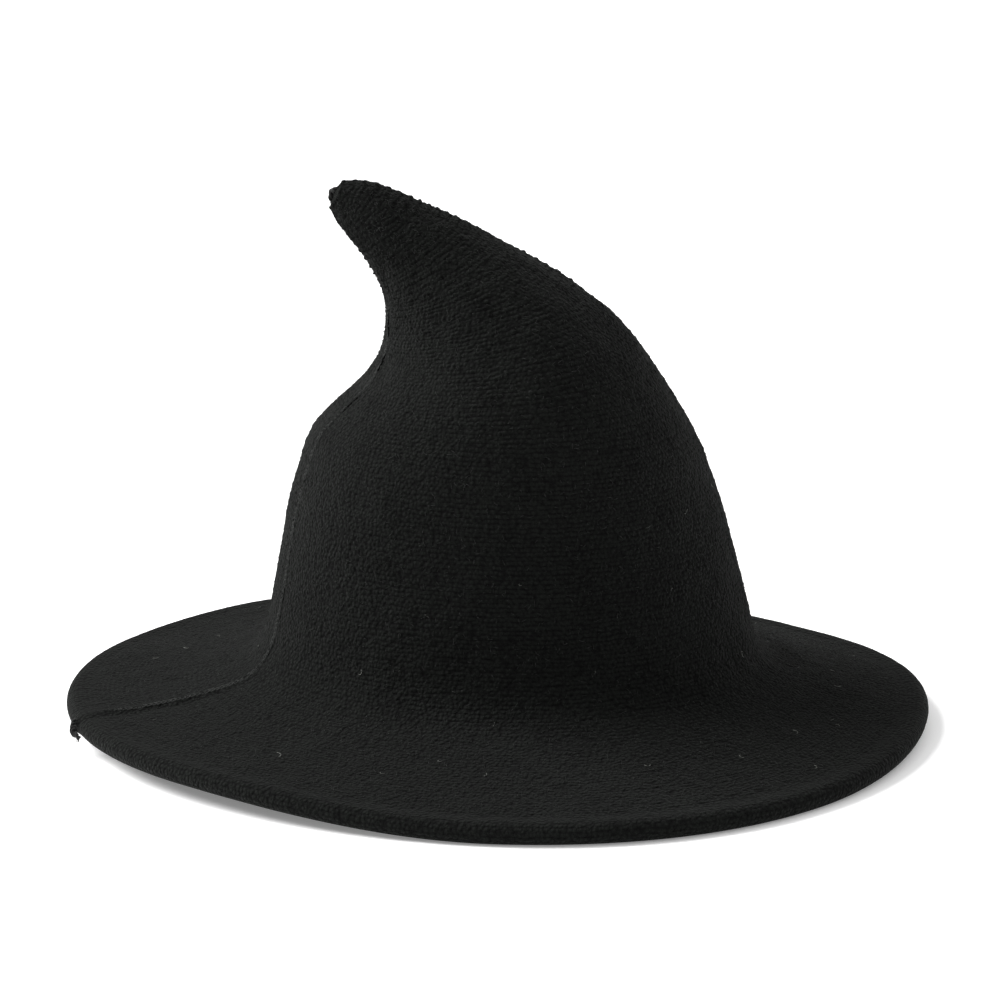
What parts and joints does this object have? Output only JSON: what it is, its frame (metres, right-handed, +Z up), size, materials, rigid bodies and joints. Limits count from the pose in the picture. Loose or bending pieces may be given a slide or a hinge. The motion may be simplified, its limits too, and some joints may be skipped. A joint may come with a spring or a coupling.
{
  "type": "witch hat",
  "caption": "Wide-brimmed knitted wool witch hat with a tall bent horn, a turned hem, a raised back seam and a ribbon sweatband inside; the horn, its tip and the brim's ends bend.",
  "frame": {"origin": "on the table, under the middle of the brim's outline", "axes": "+Z up; +X towards the front of the hat, so the horn leans back to -X, where the seam is; +Y to the wearer's left"},
  "size_m": [0.368, 0.3298, 0.2324],
  "materials": {
    "fulled_wool": "black machine-knitted wool, fulled so that the courses show as soft ridges under a short nap",
    "hem_wool": "the same black wool, turned and pressed at the brim's edge",
    "seam_wool": "the same black wool, linked edge to edge in a raised seam",
    "ribbon": "black ribbed grosgrain ribbon",
    "sewing_thread": "black polyester sewing thread",
    "label_tape": "blank off-white woven tape",
    "closing_yarn": "plied black wool yarn"
  },
  "bodies": {
    "crown_and_brim": {"crown_wall": "fulled_wool", "crown_top": "fulled_wool", "brim": "fulled_wool", "hem_left_side": "hem_wool", "hem_right_side": "hem_wool", "seam_crown_wall": "seam_wool", "seam_crown_top": "seam_wool", "seam_brim": "seam_wool", "sweatband": "ribbon", "sweatband_thread": "sewing_thread", "size_label": "label_tape"},
    "horn": {"horn": "fulled_wool", "seam_horn": "seam_wool"},
    "tip": {"horn_tip": "fulled_wool", "seam_tip": "seam_wool", "tip_gather": "closing_yarn"},
    "front_of_brim": {"brim_front": "fulled_wool", "hem_front": "hem_wool"},
    "back_of_brim": {"brim_back": "fulled_wool", "hem_back": "hem_wool", "seam_brim_back": "seam_wool", "yarn_tail": "closing_yarn"}
  },
  "joints": [
    {"name": "horn_straighten", "type": "hinge", "parent": "crown_and_brim", "child": "horn", "pos_m": [0.038, 0, 0.1842], "axis": [0, 1, 0], "range_deg": [0, 30], "stiffness_Nm_per_rad": 0.02},
    {"name": "tip_straighten", "type": "hinge", "parent": "horn", "child": "tip", "pos_m": [-0.034, 0, 0.2243], "axis": [0, 1, 0], "range_deg": [0, 30], "stiffness_Nm_per_rad": 0.002},
    {"name": "brim_front_turn_up", "type": "hinge", "parent": "crown_and_brim", "child": "front_of_brim", "pos_m": [0.128, 0, 0.0218], "axis": [0, -1, 0], "range_deg": [0, 60], "stiffness_Nm_per_rad": 0.02},
    {"name": "brim_back_turn_up", "type": "hinge", "parent": "crown_and_brim", "child": "back_of_brim", "pos_m": [-0.128, 0, 0.0226], "axis": [0, 1, 0], "range_deg": [0, 60], "stiffness_Nm_per_rad": 0.02}
  ]
}
